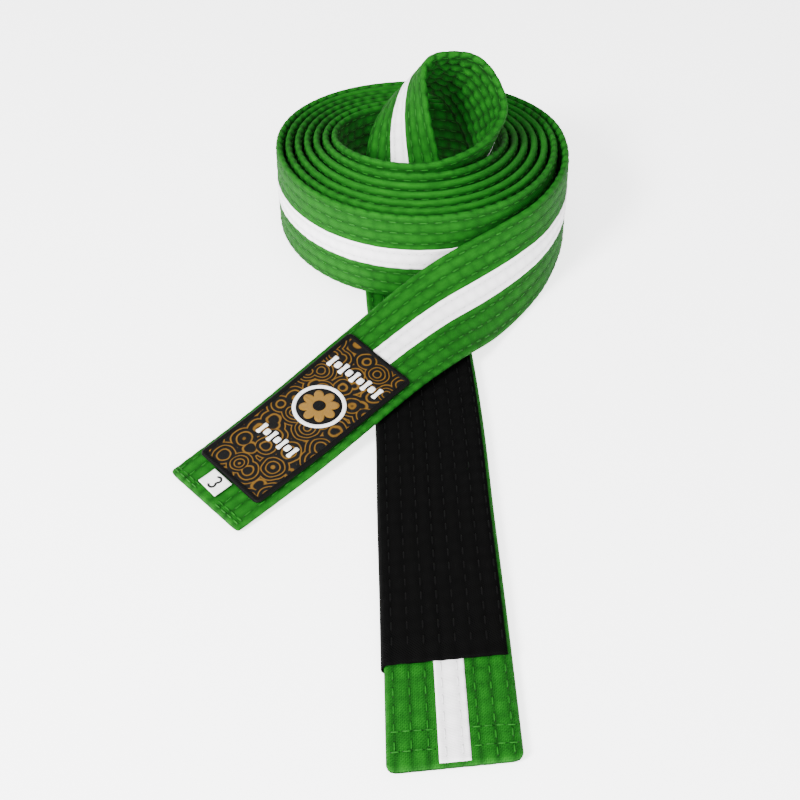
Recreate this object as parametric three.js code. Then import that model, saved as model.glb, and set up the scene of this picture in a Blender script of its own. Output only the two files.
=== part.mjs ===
// Martial arts belt: one long padded strap, stored as a standing coil with its two ends laid out flat.
// Millimetres, +Z up. +X is to the right of the coil, and the barred end runs out towards -Y.
import * as THREE from 'three';

// ---- strap section ----
const beltWidth = 40;
const strapThickness = 2.7;
const edgeTaper = 1.4;
const stripeWidth = 9.3;
const stripeThickness = 0.2;
const stripeClearance = 0.07;
const backPanelHalf = 6.2;

// ---- slanted cuts, as shift along the strap for each millimetre across it ----
const patchTipSlant = Math.tan(THREE.MathUtils.degToRad(3.3));
const barTipSlant = -Math.tan(THREE.MathUtils.degToRad(5));

// ---- stitching ----
const stripeStitchInset = 2.05;
const edgeStitchInset = 2.6;
const stitchSpacing = 4.9;
const threadWidth = 0.9;
const threadHeight = 0.25;
const threadClearance = 0.25;
const threadOnStripeClearance = 0.08;
const patchEndCrossStitches = [1.6, 3.2];
const barEndCrossStitches = [5.5, 12];
const crossStitchHeight = 0.2;

// ---- rank bar, a black sleeve sewn round the strap near one end ----
const rankBarLength = 165;
const endCapLength = 36.5;
const rankBarWall = 0.5;
const rankBarClearance = 0.1;
const rankBarOpenInset = 0.2;

// ---- levels above and below the middle of the strap ----
const halfWidth = beltWidth / 2;
const faceHalf = halfWidth - edgeTaper;
const coverHalf = strapThickness / 2;
const stripeBase = coverHalf + stripeClearance;
const stripeTop = stripeBase + stripeThickness;
const threadBase = coverHalf + threadClearance;
const threadOnStripeBase = stripeTop + threadOnStripeClearance;
const threadTop = threadOnStripeBase + threadHeight;
const crossStitchBase = threadTop + 0.06;
const rankBarInner = threadTop + rankBarClearance;
const rankBarTop = rankBarInner + rankBarWall;
const rankBarOpenEdge = faceHalf - rankBarOpenInset;

// ---- stitch rows, from the middle of the strap outwards ----
const stripeStitch = stripeWidth / 2 - stripeStitchInset;
const edgeStitch = halfWidth - edgeStitchInset;
const innerStitch = stripeStitch + stitchSpacing;
const outerStitch = edgeStitch - stitchSpacing;
const rightStitches = [stripeStitch, innerStitch, outerStitch, edgeStitch];
const stitchPositions = [...rightStitches.map((across) => -across).reverse(), ...rightStitches];

// ---- coil, turns counted from the side where the patch end joins it ----
const coilTurns = 6.75;
const stationsPerTurn = 12;
const coilRadius = { right: 64.2, back: 63.4, left: 64.1, front: 69.2 };
const turnSlack = { right: 1.7, back: 1.08, left: 1.5, front: 2.4 };
const frontBulge = 1.8;
const frontLiftOverTail = 0.9;
const frontLiftGrowth = 0.15;

// ---- free ends: middle of the strap, then the direction from its lower edge to its upper edge ----
const tailHeight = coverHalf + rankBarClearance + rankBarWall;
const frontLift = tailHeight + threadTop + frontLiftOverTail;
// The free ends were laid out for this half width; a wider strap needs more room where they pass each other.
const laidHalfWidth = 20;
const extraWidth = halfWidth - laidHalfWidth;
const crossingHeight = tailHeight + rankBarTop + coverHalf + 0.6 * extraWidth;
const innerRight = coilRadius.right - (strapThickness + turnSlack.right) * coilTurns;
const patchEndRoute = [
  [[-79, -190.5, 1.5], [-0.73, 0.68, 0]],
  [[-52.5, -163, crossingHeight - 0.45], [-0.74, 0.66, 0.06]],
  [[-14, -118.5, crossingHeight + 5.35], [-0.74, 0.63, 0.18]],
  [[6, -99, crossingHeight + 9.25], [-0.68, 0.6, 0.42]],
  [[24, -83, halfWidth - 2.7], [-0.5, 0.36, 0.79]],
  [[39.5, -67.5, halfWidth - 1], [-0.3, 0.18, 0.94]],
  [[51.5, -51.5, halfWidth + 0.2], [-0.13, 0.08, 0.98]],
  [[62.3, -23.5, halfWidth + 0.3], [-0.03, 0, 1]],
];
const loopRoute = [
  [[innerRight - 12 - 0.3 * extraWidth, -19, halfWidth + 15.3], [0.12, -0.42, 0.9]],
  [[innerRight - 4 - 0.3 * extraWidth, 0.7, halfWidth + 22], [0.31, -0.31, 0.9]],
  [[19 - 0.5 * extraWidth, 22.6 - 0.5 * extraWidth, halfWidth + 38.5], [0.33, -0.48, 0.81]],
  [[3, 23, halfWidth + 43.5], [0.13, -0.68, 0.73]],
  [[-4.3, 18.4, halfWidth + 41.8], [0.26, -0.72, 0.64]],
  [[-9.2, 4.5, 48.6], [0.62, -0.62, 0.49]],
  [[-8.9, -4.4, 34.6], [0.82, -0.49, 0.3]],
  [[-8.2, -11, 20.2], [0.97, -0.21, 0.1]],
  [[-7, -12.8, 9.5], [0.99, -0.02, 0.1]],
  [[-6.5, -18, 3.4], [1, 0, 0]],
];
const barEndRoute = [
  [[-6, -32, tailHeight], [1, 0, 0]],
  [[-4.7, -60, tailHeight], [1, 0.05, 0]],
  [[-3.2, -80, tailHeight], [1, 0.06, 0]],
  [[-0.6, -105, tailHeight], [1, 0.06, 0]],
  [[2, -150, tailHeight], [1, 0.04, 0]],
  [[3.3, -198, tailHeight], [1, 0.02, 0]],
  [[4.7, -240, tailHeight], [1, 0.03, 0]],
  [[6.3, -298.6, tailHeight], [1, 0.03, 0]],
];
const stepsBetweenPoints = { patchEnd: 4, loop: 4, barEnd: 2 };

// ---- patch near the other end ----
const patchLength = 80.8;
const patchWidth = 34.5;
const patchFromTip = 11.75;
const patchThickness = 0.6;
const patchClearance = 0.15;
const patchBorderWidth = 2.2;
const patchBorderHeight = 1;
const patchPieceGap = 0.1;
const embroideryClearance = 0.36;
const medallionRadius = 10.5;
const medallionThickness = 0.35;
const medallionRingWidth = 1.6;
const medallionFromPatchFoot = 46;
const titleBarInset = 3.75;
const titleBarWidth = 5.8;
const titleBarFromPatchFoot = 66;
const footBarInset = 7.25;
const footBarWidth = 5.4;
const footBarFromPatchFoot = 24;
const raisedThickness = 0.3;
const stripeFromTip = 30;

// ---- size tag, a woven flap held under the foot of the patch ----
const tagWidth = 10.2;
const tagLength = 7.8;
const tagThickness = 0.3;
const tagAcross = 1.75;
const tagGap = 0.6;
const numeralRadius = 1.15;
const numeralStroke = 0.55;
const numeralThickness = 0.12;
const numeralClearance = 0.06;

const patchBase = threadTop + patchClearance;
const patchTop = patchBase + patchThickness;

function standard(color, roughness) {
  return new THREE.MeshStandardMaterial({ color, roughness, metalness: 0 });
}

// Middle line of the coil at a number of turns from its start, a spiral with its own radius on each side.
function coilPoint(turn) {
  const angle = turn * 2 * Math.PI;
  const radiusOn = (side, start) => coilRadius[side] - (strapThickness + turnSlack[side]) * (turn - start);
  const right = radiusOn('right', 0);
  const back = radiusOn('back', 0.25);
  const left = radiusOn('left', 0.5);
  const front = radiusOn('front', 0.75);
  const mean = (right + back + left + front) / 4;
  const sideways = ((right - left) / 2) * Math.cos(angle);
  const lengthways = ((back - front) / 2) * Math.sin(angle);
  const oval = ((right + left - back - front) / 4) * Math.cos(2 * angle);
  const bulge = frontBulge * Math.sin(3 * angle);
  const radius = mean + sideways + lengthways + oval + bulge;
  const towardsFront = (1 - Math.sin(angle)) / 2;
  const lift = (frontLift + frontLiftGrowth * turn * turn) * towardsFront ** 2;
  return new THREE.Vector3(radius * Math.cos(angle), radius * Math.sin(angle), halfWidth + lift);
}

// Points of a hand-laid route, smoothed, with the width direction carried along at the same parameter.
function smoothRoute(rows, steps) {
  const places = new THREE.CatmullRomCurve3(rows.map((row) => row.place), false, 'centripetal');
  const widths = new THREE.CatmullRomCurve3(rows.map((row) => row.width), false, 'catmullrom', 0.5);
  const count = (rows.length - 1) * steps;
  const route = [];
  for (let i = 0; i <= count; i += 1) {
    route.push({ place: places.getPoint(i / count), width: widths.getPoint(i / count) });
  }
  return route;
}

function asRows(list) {
  return list.map(([place, width]) => ({
    place: new THREE.Vector3(...place),
    width: new THREE.Vector3(...width).normalize(),
  }));
}

function coilRows() {
  const rows = [];
  const count = Math.round(coilTurns * stationsPerTurn);
  for (let i = 0; i <= count; i += 1) {
    rows.push({ place: coilPoint((i / count) * coilTurns), width: new THREE.Vector3(0, 0, 1) });
  }
  return rows;
}

// The whole strap, from the patch tip to the barred tip, as places and width directions.
function strapRows() {
  const coil = coilRows();
  const patchEnd = [...asRows(patchEndRoute), coil[0], coil[1]];
  const patchSteps = stepsBetweenPoints.patchEnd;
  const first = smoothRoute(patchEnd, patchSteps).slice(0, patchEndRoute.length * patchSteps);
  const loop = [coil[coil.length - 2], coil[coil.length - 1], ...asRows(loopRoute), asRows(barEndRoute)[0]];
  const loopSteps = stepsBetweenPoints.loop;
  const middle = smoothRoute(loop, loopSteps).slice(loopSteps + 1, -1);
  const last = smoothRoute(asRows(barEndRoute), stepsBetweenPoints.barEnd);
  return [...first, ...coil, ...middle, ...last];
}

// Turns the rows into stations: place, width direction, outward normal, running direction and length so far.
function makeStations() {
  const rows = strapRows();
  const steps = [];
  for (let i = 0; i + 1 < rows.length; i += 1) {
    steps.push(rows[i + 1].place.clone().sub(rows[i].place));
  }
  let length = 0;
  return rows.map((row, i) => {
    const before = steps[Math.max(i - 1, 0)];
    const after = steps[Math.min(i, steps.length - 1)];
    const along = before.clone().normalize().multiplyScalar(after.length());
    along.add(after.clone().normalize().multiplyScalar(before.length())).normalize();
    const width = row.width.clone().addScaledVector(along, -row.width.dot(along)).normalize();
    const normal = new THREE.Vector3().crossVectors(along, width);
    length += i > 0 ? steps[i - 1].length() : 0;
    return { place: row.place, width, normal, along, length };
  });
}

const stations = makeStations();
const strapLength = stations[stations.length - 1].length;

// A station at any distance from the patch tip, on the straight step between its two neighbours.
function stationAt(distance) {
  let i = 0;
  while (i + 2 < stations.length && stations[i + 1].length < distance) {
    i += 1;
  }
  const share = (distance - stations[i].length) / (stations[i + 1].length - stations[i].length);
  const blend = (key) => stations[i][key].clone().lerp(stations[i + 1][key], share);
  return {
    place: blend('place'),
    width: blend('width'),
    normal: blend('normal'),
    along: blend('along'),
    length: distance,
  };
}

function stationsBetween(start, end) {
  const inner = stations.filter((station) => station.length > start + 0.5 && station.length < end - 0.5);
  return [stationAt(start), ...inner, stationAt(end)];
}

// A point of the strap: across its width, above its middle, and shifted along it.
function pointAt(station, across, above, shift) {
  return station.place
    .clone()
    .addScaledVector(station.width, across)
    .addScaledVector(station.normal, above)
    .addScaledVector(station.along, shift);
}

// Carries a closed section along stations. Each side panel is split from its low side here to its high
// side at the next station, so that pieces lying on each other bend in the same creases.
function carrySection(section, run, startSlant = 0, endSlant = startSlant) {
  const positions = [];
  for (const [index, station] of run.entries()) {
    const slant = index === 0 ? startSlant : index === run.length - 1 ? endSlant : 0;
    for (const [across, above] of section) {
      positions.push(...pointAt(station, across, above, across * slant).toArray());
    }
  }
  const count = section.length;
  const triangles = [];
  for (let k = 0; k + 1 < run.length; k += 1) {
    for (let i = 0; i < count; i += 1) {
      const j = (i + 1) % count;
      const a = k * count + i;
      const b = k * count + j;
      if (section[j][0] > section[i][0]) {
        triangles.push(a, b, b + count, a, b + count, a + count);
      } else {
        triangles.push(a, b, a + count, b, b + count, a + count);
      }
    }
  }
  const flat = section.map(([across, above]) => new THREE.Vector2(across, above));
  const lastStation = (run.length - 1) * count;
  for (const [a, b, c] of THREE.ShapeUtils.triangulateShape(flat, [])) {
    triangles.push(lastStation + a, lastStation + b, lastStation + c, a, c, b);
  }
  return closedGeometry(positions, triangles);
}

function closedGeometry(positions, triangles) {
  const geometry = new THREE.BufferGeometry();
  geometry.setAttribute('position', new THREE.Float32BufferAttribute(positions, 3));
  geometry.setIndex(triangles);
  geometry.computeVertexNormals();
  return geometry;
}

// A flat outline in strap coordinates, across and along, raised from the strap as a thin plate.
function raisePlate(shape, bottom, top, curveSegments = 12) {
  const options = { depth: top - bottom, bevelEnabled: false, curveSegments };
  const geometry = new THREE.ExtrudeGeometry(shape, options);
  const place = geometry.getAttribute('position');
  for (let i = 0; i < place.count; i += 1) {
    const station = stationAt(place.getY(i));
    const point = pointAt(station, -place.getX(i), bottom + place.getZ(i), 0);
    place.setXYZ(i, point.x, point.y, point.z);
  }
  geometry.computeVertexNormals();
  return geometry;
}

function rectangleLoop(left, right, bottom, top) {
  return [[left, bottom], [right, bottom], [right, top], [left, top]];
}

// ---- strap pieces ----
// The face of the strap is creased along the stripe's edges and the rows of stitching.
function makeStrap() {
  const creases = [stripeStitch, stripeWidth / 2, innerStitch, outerStitch, faceHalf];
  const section = [
    [-faceHalf, -coverHalf], [-backPanelHalf, -coverHalf], [backPanelHalf, -coverHalf],
    [faceHalf, -coverHalf], [halfWidth, 0],
    ...creases.map((across) => [across, coverHalf]).reverse(),
    ...creases.map((across) => [-across, coverHalf]),
    [-halfWidth, 0],
  ];
  return carrySection(section, stations, patchTipSlant, barTipSlant);
}

function makeCenterStripe() {
  const half = stripeWidth / 2;
  const section = [
    [-half, stripeBase], [-stripeStitch, stripeBase], [stripeStitch, stripeBase], [half, stripeBase],
    [half, stripeTop], [stripeStitch, stripeTop], [-stripeStitch, stripeTop], [-half, stripeTop],
  ];
  return carrySection(section, stationsBetween(stripeFromTip, strapLength - 0.3), 0, barTipSlant);
}

function threadSection(across, base, height) {
  return [[across - threadWidth / 2, base], [across + threadWidth / 2, base], [across, base + height]];
}

function makeStitchRow(across) {
  const onStripe = Math.abs(across) < stripeWidth / 2;
  const base = onStripe ? threadOnStripeBase : threadBase;
  const run = stationsBetween(1, strapLength - 1);
  return carrySection(threadSection(across, base, threadHeight), run, patchTipSlant, barTipSlant);
}

// A row of thread straight across the strap near one of its ends.
function makeCrossStitch(distance, slant) {
  const half = faceHalf - 0.6;
  const top = crossStitchBase + crossStitchHeight;
  const section = rectangleLoop(-half, half, crossStitchBase, top);
  const run = [stationAt(distance - threadWidth / 2), stationAt(distance + threadWidth / 2)];
  return carrySection(section, run, slant);
}

// ---- rank bar ----
const rankBarEnd = strapLength - endCapLength;
const rankBarStart = rankBarEnd - rankBarLength;

function makeRankBar() {
  const innerSide = -halfWidth - rankBarClearance;
  const outerSide = innerSide - rankBarWall;
  const bottomInner = -coverHalf - rankBarClearance;
  const bottomOuter = bottomInner - rankBarWall;
  const section = [
    [-faceHalf, bottomOuter], [rankBarOpenEdge, bottomOuter], [rankBarOpenEdge, bottomInner],
    [-faceHalf, bottomInner], [innerSide, 0], [-faceHalf, rankBarInner], [rankBarOpenEdge, rankBarInner],
    [rankBarOpenEdge, rankBarTop], [-faceHalf, rankBarTop], [outerSide, 0],
  ];
  return carrySection(section, stationsBetween(rankBarStart, rankBarEnd), barTipSlant);
}

function makeBarStitchRow(across) {
  const run = stationsBetween(rankBarStart + 3, rankBarEnd - 3);
  return carrySection(threadSection(across, rankBarTop + 0.06, threadHeight), run, barTipSlant);
}

// ---- patch ----
const patchFoot = patchFromTip;
const patchHead = patchFromTip + patchLength;

function rectangleShape(left, right, low, high) {
  const shape = new THREE.Shape();
  shape.moveTo(left, low);
  shape.lineTo(right, low);
  shape.lineTo(right, high);
  shape.lineTo(left, high);
  shape.closePath();
  return shape;
}

function makePatchGround() {
  const half = patchWidth / 2 - patchBorderWidth - patchPieceGap;
  const inset = patchBorderWidth + patchPieceGap;
  const section = rectangleLoop(-half, half, patchBase, patchTop);
  return carrySection(section, stationsBetween(patchFoot + inset, patchHead - inset), patchTipSlant);
}

function makePatchBorderSide(direction) {
  const outer = (direction * patchWidth) / 2;
  const inner = outer - direction * patchBorderWidth;
  const left = Math.min(inner, outer);
  const section = rectangleLoop(left, left + patchBorderWidth, patchBase, patchBase + patchBorderHeight);
  return carrySection(section, stationsBetween(patchFoot, patchHead), patchTipSlant);
}

function makePatchBorderEnd(low) {
  const half = patchWidth / 2 - patchBorderWidth - patchPieceGap;
  const section = rectangleLoop(-half, half, patchBase, patchBase + patchBorderHeight);
  return carrySection(section, stationsBetween(low, low + patchBorderWidth), patchTipSlant);
}

const medallionCentre = patchFoot + medallionFromPatchFoot;
const embroideryBase = patchTop + embroideryClearance;

function makeMedallion() {
  const disc = new THREE.Shape();
  disc.absarc(0, medallionCentre, medallionRadius - medallionRingWidth - patchPieceGap, 0, 2 * Math.PI);
  return raisePlate(disc, embroideryBase, embroideryBase + medallionThickness, 24);
}

function makeMedallionRing() {
  const ring = new THREE.Shape();
  ring.absarc(0, medallionCentre, medallionRadius, 0, 2 * Math.PI);
  const hole = new THREE.Path();
  hole.absarc(0, medallionCentre, medallionRadius - medallionRingWidth, 0, 2 * Math.PI);
  ring.holes.push(hole);
  return raisePlate(ring, embroideryBase, embroideryBase + medallionThickness + 0.15, 24);
}

function makeRaisedBar(length, width, centre) {
  const shape = rectangleShape(-length / 2, length / 2, centre - width / 2, centre + width / 2);
  return raisePlate(shape, embroideryBase, embroideryBase + raisedThickness);
}

// ---- size tag ----
const tagFrame = stationAt(patchFoot);
const tagBase = crossStitchBase + crossStitchHeight + 0.05;

// A plate lying on the strap at the foot of the patch: across from its middle, and down from its seam.
function raiseFlatPlate(shape, bottom, top, curveSegments) {
  const options = { depth: top - bottom, bevelEnabled: false, curveSegments };
  const geometry = new THREE.ExtrudeGeometry(shape, options);
  const place = geometry.getAttribute('position');
  for (let i = 0; i < place.count; i += 1) {
    const across = tagAcross - place.getX(i);
    const point = pointAt(tagFrame, across, bottom + place.getZ(i), place.getY(i) - tagGap);
    place.setXYZ(i, point.x, point.y, point.z);
  }
  geometry.computeVertexNormals();
  return geometry;
}

function makeSizeTag() {
  const shape = rectangleShape(-tagWidth / 2, tagWidth / 2, -tagLength, 0);
  return raiseFlatPlate(shape, tagBase, tagBase + tagThickness, 1);
}

// The size numeral 3: two bowls of one stroke width, open to the left.
function makeSizeNumeral() {
  const middle = -tagLength / 2;
  const outer = numeralRadius + numeralStroke / 2;
  const inner = numeralRadius - numeralStroke / 2;
  const opening = THREE.MathUtils.degToRad(150);
  const shape = new THREE.Shape();
  const high = middle + numeralRadius;
  const low = middle - numeralRadius;
  shape.absarc(0, high, outer, opening, -Math.PI / 6, true);
  shape.absarc(0, low, outer, Math.PI / 6, -opening, true);
  shape.absarc(0, low, inner, -opening, Math.PI / 2, false);
  shape.absarc(0, high, inner, -Math.PI / 2, opening, false);
  shape.closePath();
  const base = tagBase + tagThickness + numeralClearance;
  return raiseFlatPlate(shape, base, base + numeralThickness, 6);
}

// ---- assembly ----
const finishes = {
  strap: standard(0x33812c, 0.9),
  stripe: standard(0xf1eff1, 0.85),
  thread: standard(0x2f7a2b, 0.8),
  whiteThread: standard(0xe2e0e2, 0.8),
  black: standard(0x141312, 0.9),
  patchGround: standard(0x6b4a1c, 0.85),
  gold: standard(0xcf9a35, 0.75),
  white: standard(0xf2f0ee, 0.8),
};

const belt = new THREE.Group();

function addPiece(name, geometry, finish) {
  const piece = new THREE.Mesh(geometry, finish.clone());
  piece.name = name;
  belt.add(piece);
}

addPiece('strap', makeStrap(), finishes.strap);
addPiece('center_stripe', makeCenterStripe(), finishes.stripe);
for (const [i, across] of stitchPositions.entries()) {
  const onStripe = Math.abs(across) < stripeWidth / 2;
  addPiece(`stitch_row_${i + 1}`, makeStitchRow(across), onStripe ? finishes.whiteThread : finishes.thread);
}
for (const [i, inset] of patchEndCrossStitches.entries()) {
  addPiece(`patch_end_cross_stitch_${i + 1}`, makeCrossStitch(inset, patchTipSlant), finishes.thread);
}
for (const [i, inset] of barEndCrossStitches.entries()) {
  const stitch = makeCrossStitch(strapLength - inset, barTipSlant);
  addPiece(`bar_end_cross_stitch_${i + 1}`, stitch, finishes.thread);
}
addPiece('rank_bar', makeRankBar(), finishes.black);
for (const [i, across] of stitchPositions.entries()) {
  addPiece(`bar_stitch_row_${i + 1}`, makeBarStitchRow(across), finishes.black);
}
addPiece('patch_ground', makePatchGround(), finishes.patchGround);
addPiece('patch_border_left', makePatchBorderSide(1), finishes.black);
addPiece('patch_border_right', makePatchBorderSide(-1), finishes.black);
addPiece('patch_border_foot', makePatchBorderEnd(patchFoot), finishes.black);
addPiece('patch_border_head', makePatchBorderEnd(patchHead - patchBorderWidth), finishes.black);
addPiece('patch_medallion', makeMedallion(), finishes.gold);
addPiece('patch_medallion_ring', makeMedallionRing(), finishes.white);
const titleBarLength = patchWidth - 2 * titleBarInset;
const footBarLength = patchWidth - 2 * footBarInset;
const titleBarCentre = patchFoot + titleBarFromPatchFoot;
const footBarCentre = patchFoot + footBarFromPatchFoot;
addPiece('patch_title_bar', makeRaisedBar(titleBarLength, titleBarWidth, titleBarCentre), finishes.white);
addPiece('patch_foot_bar', makeRaisedBar(footBarLength, footBarWidth, footBarCentre), finishes.white);
addPiece('size_tag', makeSizeTag(), finishes.white);
addPiece('size_numeral', makeSizeNumeral(), finishes.black);

// The origin is the middle of the underside of the box round the whole belt.
const box = new THREE.Box3().setFromObject(belt);
const centre = box.getCenter(new THREE.Vector3());
belt.position.set(-centre.x, -centre.y, -box.min.z);

export default belt;
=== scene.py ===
import math
import bpy
import numpy as np
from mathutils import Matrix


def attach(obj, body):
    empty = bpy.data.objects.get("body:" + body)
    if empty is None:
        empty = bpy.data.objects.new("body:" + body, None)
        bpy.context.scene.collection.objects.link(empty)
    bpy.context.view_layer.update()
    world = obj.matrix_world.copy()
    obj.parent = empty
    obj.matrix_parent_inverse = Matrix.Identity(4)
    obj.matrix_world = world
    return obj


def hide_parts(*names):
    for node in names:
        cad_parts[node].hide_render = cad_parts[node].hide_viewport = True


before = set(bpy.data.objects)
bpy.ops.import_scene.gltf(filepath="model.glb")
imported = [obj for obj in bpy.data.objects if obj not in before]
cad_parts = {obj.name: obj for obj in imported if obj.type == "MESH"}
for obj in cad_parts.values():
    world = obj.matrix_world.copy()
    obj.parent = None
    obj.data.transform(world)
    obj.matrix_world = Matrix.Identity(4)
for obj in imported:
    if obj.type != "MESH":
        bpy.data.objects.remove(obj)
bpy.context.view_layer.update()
mm = 0.001

# The strap's route, in millimetres from the middle of the coil
route = {
    "shift": (13.0489, 118.6658, 0.0),   # middle of the coil in the part's frame
    "turns": 6.75,
    "turnSteps": 12,
    "radius": {"right": 64.2, "back": 63.4, "left": 64.1, "front": 69.2},
    "pitch": {"right": 4.4, "back": 3.78, "left": 4.2, "front": 5.1},
    "bulge": 1.8,
    "lift": 4.8,
    "liftGrowth": 0.15,
    "halfWidth": 20.0,
    "halfThick": 1.35,
    "smoothing": 4.0,
    "patchTipSlant": math.tan(math.radians(3.3)),   # shift along the strap for each millimetre across it
    "barTipSlant": -math.tan(math.radians(5)),
    "patchTipReach": 14,                            # the slant dies out over this length
    "barTipReach": 28,
    "patchEnd": [
        (-79, -190.5, 1.5, -0.73, 0.68, 0),
        (-52.5, -163, 5.4, -0.74, 0.66, 0.06),
        (-14, -118.5, 11.2, -0.74, 0.63, 0.18),
        (6, -99, 15.1, -0.68, 0.6, 0.42),
        (24, -83, 17.3, -0.5, 0.36, 0.79),
        (39.5, -67.5, 19, -0.3, 0.18, 0.94),
        (51.5, -51.5, 20.2, -0.13, 0.08, 0.98),
        (62.3, -23.5, 20.3, -0.03, 0, 1),
    ],
    "loop": [
        (22.5, -19, 35.3, 0.12, -0.42, 0.9),
        (30.5, 0.7, 42, 0.31, -0.31, 0.9),
        (19, 22.6, 58.5, 0.33, -0.48, 0.81),
        (3, 23, 63.5, 0.13, -0.68, 0.73),
        (-4.3, 18.4, 61.8, 0.26, -0.72, 0.64),
        (-9.2, 4.5, 48.6, 0.62, -0.62, 0.49),
        (-8.9, -4.4, 34.6, 0.82, -0.49, 0.3),
        (-8.2, -11, 20.2, 0.97, -0.21, 0.1),
        (-7, -12.8, 9.5, 0.99, -0.02, 0.1),
        (-6.5, -18, 3.4, 1, 0, 0),
    ],
    "barEnd": [
        (-6, -32, 1.95, 1, 0, 0),
        (-4.7, -60, 1.95, 1, 0.05, 0),
        (-3.2, -80, 1.95, 1, 0.06, 0),
        (-0.6, -105, 1.95, 1, 0.06, 0),
        (2, -150, 1.95, 1, 0.04, 0),
        (3.3, -198, 1.95, 1, 0.02, 0),
        (4.7, -240, 1.95, 1, 0.03, 0),
        (6.3, -298.6, 1.95, 1, 0.03, 0),
    ],
}


def smoothCurve(points, steps, alpha):
    # Catmull-Rom through the points; alpha is the power of the distance used as the spacing of each step
    points = np.asarray(points, float)
    padded = np.vstack([2 * points[0] - points[1], points, 2 * points[-1] - points[-2]])
    gap = np.linalg.norm(np.diff(padded, axis=0), axis=1) ** alpha
    out = []
    for i in range(len(points) - 1):
        p0, p1, p2, p3 = padded[i:i + 4]
        d0, d1, d2 = gap[i:i + 3]
        m1 = ((p1 - p0) / d0 - (p2 - p0) / (d0 + d1) + (p2 - p1) / d1) * d1
        m2 = ((p2 - p1) / d1 - (p3 - p1) / (d1 + d2) + (p3 - p2) / d2) * d1
        t = (np.arange(steps) / steps)[:, None]
        out.append(p1 + m1 * t + (3 * (p2 - p1) - 2 * m1 - m2) * t ** 2 + (2 * (p1 - p2) + m1 + m2) * t ** 3)
    out.append(points[-1:])
    return np.vstack(out)


def coilRows(turn):
    # Radius is a mean of the four sides' radii, plus cosine and sine terms for their differences and a small
    # bulge of three waves; each side's radius shrinks by its own pitch in every turn
    th = turn * 2 * np.pi
    side = {k: route["radius"][k] - route["pitch"][k] * (turn - at)
            for k, at in (("right", 0), ("back", 0.25), ("left", 0.5), ("front", 0.75))}
    r = (sum(side.values()) / 4 + (side["right"] - side["left"]) / 2 * np.cos(th)
         + (side["back"] - side["front"]) / 2 * np.sin(th)
         + (side["right"] + side["left"] - side["back"] - side["front"]) / 4 * np.cos(2 * th)
         + route["bulge"] * np.sin(3 * th))
    lift = (route["lift"] + route["liftGrowth"] * turn ** 2) * ((1 - np.sin(th)) / 2) ** 2
    zero = np.zeros_like(th)
    return np.stack([r * np.cos(th), r * np.sin(th), route["halfWidth"] + lift, zero, zero, zero + 1], -1)


def splineRows(rows, steps):
    # Smooth curves through the places (first three values) and through the width directions (last three)
    rows = np.asarray(rows, float)
    rows[:, 3:] /= np.linalg.norm(rows[:, 3:], axis=1)[:, None]
    return np.hstack([smoothCurve(rows[:, :3], steps, 0.5), smoothCurve(rows[:, 3:], steps, 0.0)])


def blur(values, width):
    # Gaussian average along the first axis, with each end carried on straight so that it stays where it is
    reach = int(3 * width)
    kernel = np.exp(-0.5 * (np.arange(-reach, reach + 1) / width) ** 2)
    kernel /= kernel.sum()
    head = 2 * values[0] - values[1:reach + 1][::-1]
    tail = 2 * values[-1] - values[-reach - 1:-1][::-1]
    long = np.vstack([head, values, tail])
    return np.stack([np.convolve(long[:, k], kernel, "valid") for k in range(values.shape[1])], -1)


def makeStrapLine():
    # The middle line: patch end, coil, loop and barred end joined, then a point every millimetre, averaged
    step = 1 / route["turnSteps"]
    end = route["turns"]
    fine = 40
    patchEnd = np.vstack([route["patchEnd"], coilRows(np.array([0, step]))])
    first = splineRows(patchEnd, fine)[:len(route["patchEnd"]) * fine]
    coil = coilRows(np.linspace(0, end, int(end * 360)))
    loop = np.vstack([coilRows(np.array([end - step, end])), route["loop"], route["barEnd"][:1]])
    middle = splineRows(loop, fine)[fine + 1:-1]
    last = splineRows(route["barEnd"], fine)
    rows = np.vstack([first, coil, middle, last])
    length = np.r_[0, np.cumsum(np.linalg.norm(np.diff(rows[:, :3], axis=0), axis=1))]
    even = np.arange(0, length[-1], 1.0)
    rows = np.stack([np.interp(even, length, rows[:, k]) for k in range(6)], -1)
    rows = blur(rows, route["smoothing"])
    place = rows[:, :3]
    length = np.r_[0, np.cumsum(np.linalg.norm(np.diff(place, axis=0), axis=1))]
    return length, place, rows[:, 3:]


lineLength, linePlace, lineWidth = makeStrapLine()
strapLength = lineLength[-1]
along = np.gradient(linePlace, lineLength, axis=0)
along /= np.linalg.norm(along, axis=1)[:, None]
lineWidth = lineWidth - along * (lineWidth * along).sum(1)[:, None]
lineWidth /= np.linalg.norm(lineWidth, axis=1)[:, None]
lineNormal = np.cross(along, lineWidth)
# bend is the change of direction along the normal: below zero where the striped face is on the outside
bend = (np.gradient(along, lineLength, axis=0) * lineNormal).sum(1)
bend = blur(bend[:, None], 5)[:, 0]
print("strap length", round(strapLength, 1))


def strapPoint(s, x, h):
    # s is along the strap, x across it and h above its middle, in millimetres: the place is the middle
    # line's point at s, plus x times the width direction, plus h times the normal
    s, x, h = np.broadcast_arrays(s, x, h)
    s = s + x * route["patchTipSlant"] * np.clip(1 - s / route["patchTipReach"], 0, 1)
    s = s + x * route["barTipSlant"] * np.clip(1 - (strapLength - s) / route["barTipReach"], 0, 1)
    past = np.minimum(s, 0) + np.maximum(s - strapLength, 0)
    pick = [np.interp(s, lineLength, a[:, k]) for a in (linePlace, lineWidth, lineNormal) for k in range(3)]
    place, width, normal = np.stack(pick[:3], -1), np.stack(pick[3:6], -1), np.stack(pick[6:], -1)
    # beyond each end the strap runs straight on
    ahead = np.where(past[..., None] < 0, along[0], along[-1]) * past[..., None]
    return (place + ahead + width * x[..., None] + normal * h[..., None] + np.array(route["shift"])) * mm


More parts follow.
